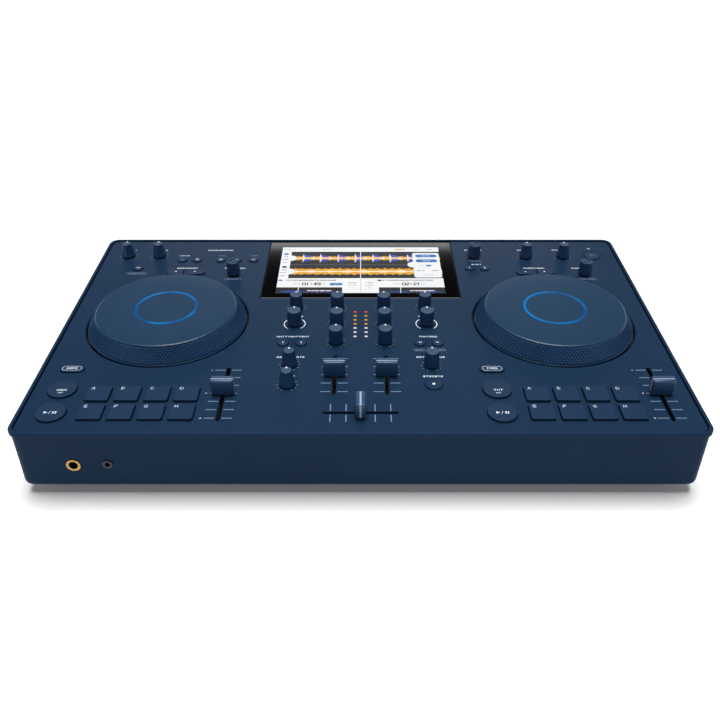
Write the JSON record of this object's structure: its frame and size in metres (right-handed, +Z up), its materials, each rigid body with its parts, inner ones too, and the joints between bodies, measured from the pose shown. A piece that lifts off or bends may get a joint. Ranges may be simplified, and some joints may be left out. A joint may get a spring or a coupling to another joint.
{
  "type": "dj controller",
  "caption": "Two-deck DJ controller with jog wheels, mixer section, performance pads, faders and a built-in screen in a rounded case.",
  "frame": {"origin": "middle of the footprint, on the plane of the feet", "axes": "+X to the player's right along the longest side, +Y towards the back with the sockets, +Z up"},
  "size_m": [0.49, 0.296, 0.0718],
  "materials": {
    "case_plastic": "matte",
    "panel": "satin",
    "control_plastic": "satin",
    "key_rubber": "matte",
    "jog_plastic": "satin",
    "display_glass": "polished",
    "lcd": "satin",
    "circuit_board": "satin",
    "battery_wrap": "satin",
    "feet_rubber": "matte",
    "screw_steel": "satin",
    "potentiometer_body": "satin",
    "clear_lens": "satin",
    "jack_body": "satin",
    "light_ring": "satin"
  },
  "bodies": {
    "chassis": {"bottom_case": "case_plastic", "top_case": "case_plastic", "top_panel": "panel", "display_glass": "display_glass", "lcd_module": "lcd", "control_board": "circuit_board", "main_board": "circuit_board", "battery_pack": "battery_wrap", "rubber_feet": "feet_rubber", "case_screws": "screw_steel", "slide_potentiometers": "potentiometer_body", "rotary_potentiometers": "potentiometer_body", "meter_lenses": "clear_lens", "headphone_jacks": "jack_body", "rear_sockets": "jack_body", "jog_bearing_housings": "case_plastic"},
    "beat_jump_keys_left_body": {"beat_jump_keys_left": "control_plastic"},
    "beat_jump_keys_right_body": {"beat_jump_keys_right": "control_plastic"},
    "beat_loop_selector_left_body": {"beat_loop_selector_left": "control_plastic"},
    "beat_loop_selector_right_body": {"beat_loop_selector_right": "control_plastic"},
    "booth_level_knob_body": {"booth_level_knob": "control_plastic"},
    "browse_selector_body": {"browse_selector": "control_plastic"},
    "channel_fader_1_body": {"channel_fader_1": "control_plastic"},
    "channel_fader_2_body": {"channel_fader_2": "control_plastic"},
    "crossfader_body": {"crossfader": "control_plastic"},
    "cue_button_left_body": {"cue_button_left": "control_plastic"},
    "cue_button_right_body": {"cue_button_right": "control_plastic"},
    "cue_select_keys_body": {"cue_select_keys": "control_plastic"},
    "effect_depth_knob_body": {"effect_depth_knob": "control_plastic"},
    "effect_keys_body": {"effect_keys": "control_plastic"},
    "eq_high_knob_1_body": {"eq_high_knob_1": "control_plastic"},
    "eq_high_knob_2_body": {"eq_high_knob_2": "control_plastic"},
    "eq_low_knob_1_body": {"eq_low_knob_1": "control_plastic"},
    "eq_low_knob_2_body": {"eq_low_knob_2": "control_plastic"},
    "eq_mid_knob_1_body": {"eq_mid_knob_1": "control_plastic"},
    "eq_mid_knob_2_body": {"eq_mid_knob_2": "control_plastic"},
    "filter_knob_1_body": {"filter_knob_1": "control_plastic"},
    "filter_knob_2_body": {"filter_knob_2": "control_plastic"},
    "headphones_level_knob_body": {"headphones_level_knob": "control_plastic"},
    "headphones_mix_knob_body": {"headphones_mix_knob": "control_plastic"},
    "jog_left": {"jog_platter_left": "jog_plastic", "jog_light_ring_left": "light_ring"},
    "jog_right": {"jog_platter_right": "jog_plastic", "jog_light_ring_right": "light_ring"},
    "load_keys_body": {"load_keys": "control_plastic"},
    "master_level_knob_body": {"master_level_knob": "control_plastic"},
    "mic_1_level_knob_body": {"mic_1_level_knob": "control_plastic"},
    "mic_2_level_knob_body": {"mic_2_level_knob": "control_plastic"},
    "performance_pads_left_body": {"performance_pads_left": "key_rubber"},
    "performance_pads_right_body": {"performance_pads_right": "key_rubber"},
    "play_button_left_body": {"play_button_left": "control_plastic"},
    "play_button_right_body": {"play_button_right": "control_plastic"},
    "power_key_body": {"power_key": "control_plastic"},
    "shift_button_left_body": {"shift_button_left": "control_plastic"},
    "shift_button_right_body": {"shift_button_right": "control_plastic"},
    "source_keys_body": {"source_keys": "control_plastic"},
    "tempo_fader_left_body": {"tempo_fader_left": "control_plastic"},
    "tempo_fader_right_body": {"tempo_fader_right": "control_plastic"},
    "trim_knob_1_body": {"trim_knob_1": "control_plastic"},
    "trim_knob_2_body": {"trim_knob_2": "control_plastic"}
  },
  "joints": [
    {"name": "beat_jump_keys_left_press", "type": "slide", "parent": "chassis", "child": "beat_jump_keys_left_body", "axis": [0, 0, -1], "range_m": [0, 0.0008], "stiffness_N_per_m": 500, "springref_m": -0.0008},
    {"name": "beat_jump_keys_right_press", "type": "slide", "parent": "chassis", "child": "beat_jump_keys_right_body", "axis": [0, 0, -1], "range_m": [0, 0.0008], "stiffness_N_per_m": 500, "springref_m": -0.0008},
    {"name": "beat_loop_selector_left_turn", "type": "hinge", "parent": "chassis", "child": "beat_loop_selector_left_body", "pos_m": [-0.1159, 0.0784, 0.0718], "axis": [0, 0, -1], "continuous": true},
    {"name": "beat_loop_selector_right_turn", "type": "hinge", "parent": "chassis", "child": "beat_loop_selector_right_body", "pos_m": [0.2048, 0.0784, 0.0718], "axis": [0, 0, -1], "continuous": true},
    {"name": "booth_level_knob_turn", "type": "hinge", "parent": "chassis", "child": "booth_level_knob_body", "pos_m": [0.1566, 0.1122, 0.0718], "axis": [0, 0, -1], "range_deg": [-140, 140]},
    {"name": "browse_selector_turn", "type": "hinge", "parent": "chassis", "child": "browse_selector_body", "pos_m": [0.1073, 0.112, 0.0718], "axis": [0, 0, -1], "continuous": true},
    {"name": "channel_fader_1_slide", "type": "slide", "parent": "chassis", "child": "channel_fader_1_body", "axis": [0, 1, 0], "range_m": [-0.0225, 0.0225]},
    {"name": "channel_fader_2_slide", "type": "slide", "parent": "chassis", "child": "channel_fader_2_body", "axis": [0, 1, 0], "range_m": [-0.0225, 0.0225]},
    {"name": "crossfader_slide", "type": "slide", "parent": "chassis", "child": "crossfader_body", "axis": [1, 0, 0], "range_m": [-0.0225, 0.0225]},
    {"name": "cue_button_left_press", "type": "slide", "parent": "chassis", "child": "cue_button_left_body", "axis": [0, 0, -1], "range_m": [0, 0.0008], "stiffness_N_per_m": 500, "springref_m": -0.0008},
    {"name": "cue_button_right_press", "type": "slide", "parent": "chassis", "child": "cue_button_right_body", "axis": [0, 0, -1], "range_m": [0, 0.0008], "stiffness_N_per_m": 500, "springref_m": -0.0008},
    {"name": "cue_select_keys_press", "type": "slide", "parent": "chassis", "child": "cue_select_keys_body", "axis": [0, 0, -1], "range_m": [0, 0.0008], "stiffness_N_per_m": 500, "springref_m": -0.0008},
    {"name": "effect_depth_knob_turn", "type": "hinge", "parent": "chassis", "child": "effect_depth_knob_body", "pos_m": [0.05465, -0.0654, 0.0718], "axis": [0, 0, -1], "range_deg": [-140, 140]},
    {"name": "effect_keys_press", "type": "slide", "parent": "chassis", "child": "effect_keys_body", "axis": [0, 0, -1], "range_m": [0, 0.0008], "stiffness_N_per_m": 500, "springref_m": -0.0008},
    {"name": "eq_high_knob_1_turn", "type": "hinge", "parent": "chassis", "child": "eq_high_knob_1_body", "pos_m": [-0.0197, 0.019, 0.0718], "axis": [0, 0, -1], "range_deg": [-140, 140]},
    {"name": "eq_high_knob_2_turn", "type": "hinge", "parent": "chassis", "child": "eq_high_knob_2_body", "pos_m": [0.0197, 0.019, 0.0718], "axis": [0, 0, -1], "range_deg": [-140, 140]},
    {"name": "eq_low_knob_1_turn", "type": "hinge", "parent": "chassis", "child": "eq_low_knob_1_body", "pos_m": [-0.0197, -0.033, 0.0718], "axis": [0, 0, -1], "range_deg": [-140, 140]},
    {"name": "eq_low_knob_2_turn", "type": "hinge", "parent": "chassis", "child": "eq_low_knob_2_body", "pos_m": [0.0197, -0.033, 0.0718], "axis": [0, 0, -1], "range_deg": [-140, 140]},
    {"name": "eq_mid_knob_1_turn", "type": "hinge", "parent": "chassis", "child": "eq_mid_knob_1_body", "pos_m": [-0.0197, -0.0067, 0.0718], "axis": [0, 0, -1], "range_deg": [-140, 140]},
    {"name": "eq_mid_knob_2_turn", "type": "hinge", "parent": "chassis", "child": "eq_mid_knob_2_body", "pos_m": [0.0197, -0.0067, 0.0718], "axis": [0, 0, -1], "range_deg": [-140, 140]},
    {"name": "filter_knob_1_turn", "type": "hinge", "parent": "chassis", "child": "filter_knob_1_body", "pos_m": [-0.05465, -0.006, 0.0718], "axis": [0, 0, -1], "range_deg": [-140, 140]},
    {"name": "filter_knob_2_turn", "type": "hinge", "parent": "chassis", "child": "filter_knob_2_body", "pos_m": [0.05465, -0.006, 0.0718], "axis": [0, 0, -1], "range_deg": [-140, 140]},
    {"name": "headphones_level_knob_turn", "type": "hinge", "parent": "chassis", "child": "headphones_level_knob_body", "pos_m": [-0.05465, -0.0905, 0.0718], "axis": [0, 0, -1], "range_deg": [-140, 140]},
    {"name": "headphones_mix_knob_turn", "type": "hinge", "parent": "chassis", "child": "headphones_mix_knob_body", "pos_m": [-0.05465, -0.0646, 0.0718], "axis": [0, 0, -1], "range_deg": [-140, 140]},
    {"name": "jog_left_spin", "type": "hinge", "parent": "chassis", "child": "jog_left", "pos_m": [-0.16025, -0.0013, 0.0713], "axis": [0, 0, 1], "continuous": true},
    {"name": "jog_right_spin", "type": "hinge", "parent": "chassis", "child": "jog_right", "pos_m": [0.16025, -0.0013, 0.0713], "axis": [0, 0, 1], "continuous": true},
    {"name": "load_keys_press", "type": "slide", "parent": "chassis", "child": "load_keys_body", "axis": [0, 0, -1], "range_m": [0, 0.0008], "stiffness_N_per_m": 500, "springref_m": -0.0008},
    {"name": "master_level_knob_turn", "type": "hinge", "parent": "chassis", "child": "master_level_knob_body", "pos_m": [0.1914, 0.1122, 0.0718], "axis": [0, 0, -1], "range_deg": [-140, 140]},
    {"name": "mic_1_level_knob_turn", "type": "hinge", "parent": "chassis", "child": "mic_1_level_knob_body", "pos_m": [-0.22, 0.1135, 0.0718], "axis": [0, 0, -1], "range_deg": [-140, 140]},
    {"name": "mic_2_level_knob_turn", "type": "hinge", "parent": "chassis", "child": "mic_2_level_knob_body", "pos_m": [-0.1906, 0.1135, 0.0718], "axis": [0, 0, -1], "range_deg": [-140, 140]},
    {"name": "performance_pads_left_press", "type": "slide", "parent": "chassis", "child": "performance_pads_left_body", "axis": [0, 0, -1], "range_m": [0, 0.0008], "stiffness_N_per_m": 500, "springref_m": -0.0008},
    {"name": "performance_pads_right_press", "type": "slide", "parent": "chassis", "child": "performance_pads_right_body", "axis": [0, 0, -1], "range_m": [0, 0.0008], "stiffness_N_per_m": 500, "springref_m": -0.0008},
    {"name": "play_button_left_press", "type": "slide", "parent": "chassis", "child": "play_button_left_body", "axis": [0, 0, -1], "range_m": [0, 0.0008], "stiffness_N_per_m": 500, "springref_m": -0.0008},
    {"name": "play_button_right_press", "type": "slide", "parent": "chassis", "child": "play_button_right_body", "axis": [0, 0, -1], "range_m": [0, 0.0008], "stiffness_N_per_m": 500, "springref_m": -0.0008},
    {"name": "power_key_press", "type": "slide", "parent": "chassis", "child": "power_key_body", "axis": [0, 0, -1], "range_m": [0, 0.0008], "stiffness_N_per_m": 500, "springref_m": -0.0008},
    {"name": "shift_button_left_press", "type": "slide", "parent": "chassis", "child": "shift_button_left_body", "axis": [0, 0, -1], "range_m": [0, 0.0008], "stiffness_N_per_m": 500, "springref_m": -0.0008},
    {"name": "shift_button_right_press", "type": "slide", "parent": "chassis", "child": "shift_button_right_body", "axis": [0, 0, -1], "range_m": [0, 0.0008], "stiffness_N_per_m": 500, "springref_m": -0.0008},
    {"name": "source_keys_press", "type": "slide", "parent": "chassis", "child": "source_keys_body", "axis": [0, 0, -1], "range_m": [0, 0.0008], "stiffness_N_per_m": 500, "springref_m": -0.0008},
    {"name": "tempo_fader_left_slide", "type": "slide", "parent": "chassis", "child": "tempo_fader_left_body", "axis": [0, 1, 0], "range_m": [-0.03, 0.03]},
    {"name": "tempo_fader_right_slide", "type": "slide", "parent": "chassis", "child": "tempo_fader_right_body", "axis": [0, 1, 0], "range_m": [-0.03, 0.03]},
    {"name": "trim_knob_1_turn", "type": "hinge", "parent": "chassis", "child": "trim_knob_1_body", "pos_m": [-0.05465, 0.0195, 0.0718], "axis": [0, 0, -1], "range_deg": [-140, 140]},
    {"name": "trim_knob_2_turn", "type": "hinge", "parent": "chassis", "child": "trim_knob_2_body", "pos_m": [0.05465, 0.0195, 0.0718], "axis": [0, 0, -1], "range_deg": [-140, 140]}
  ]
}
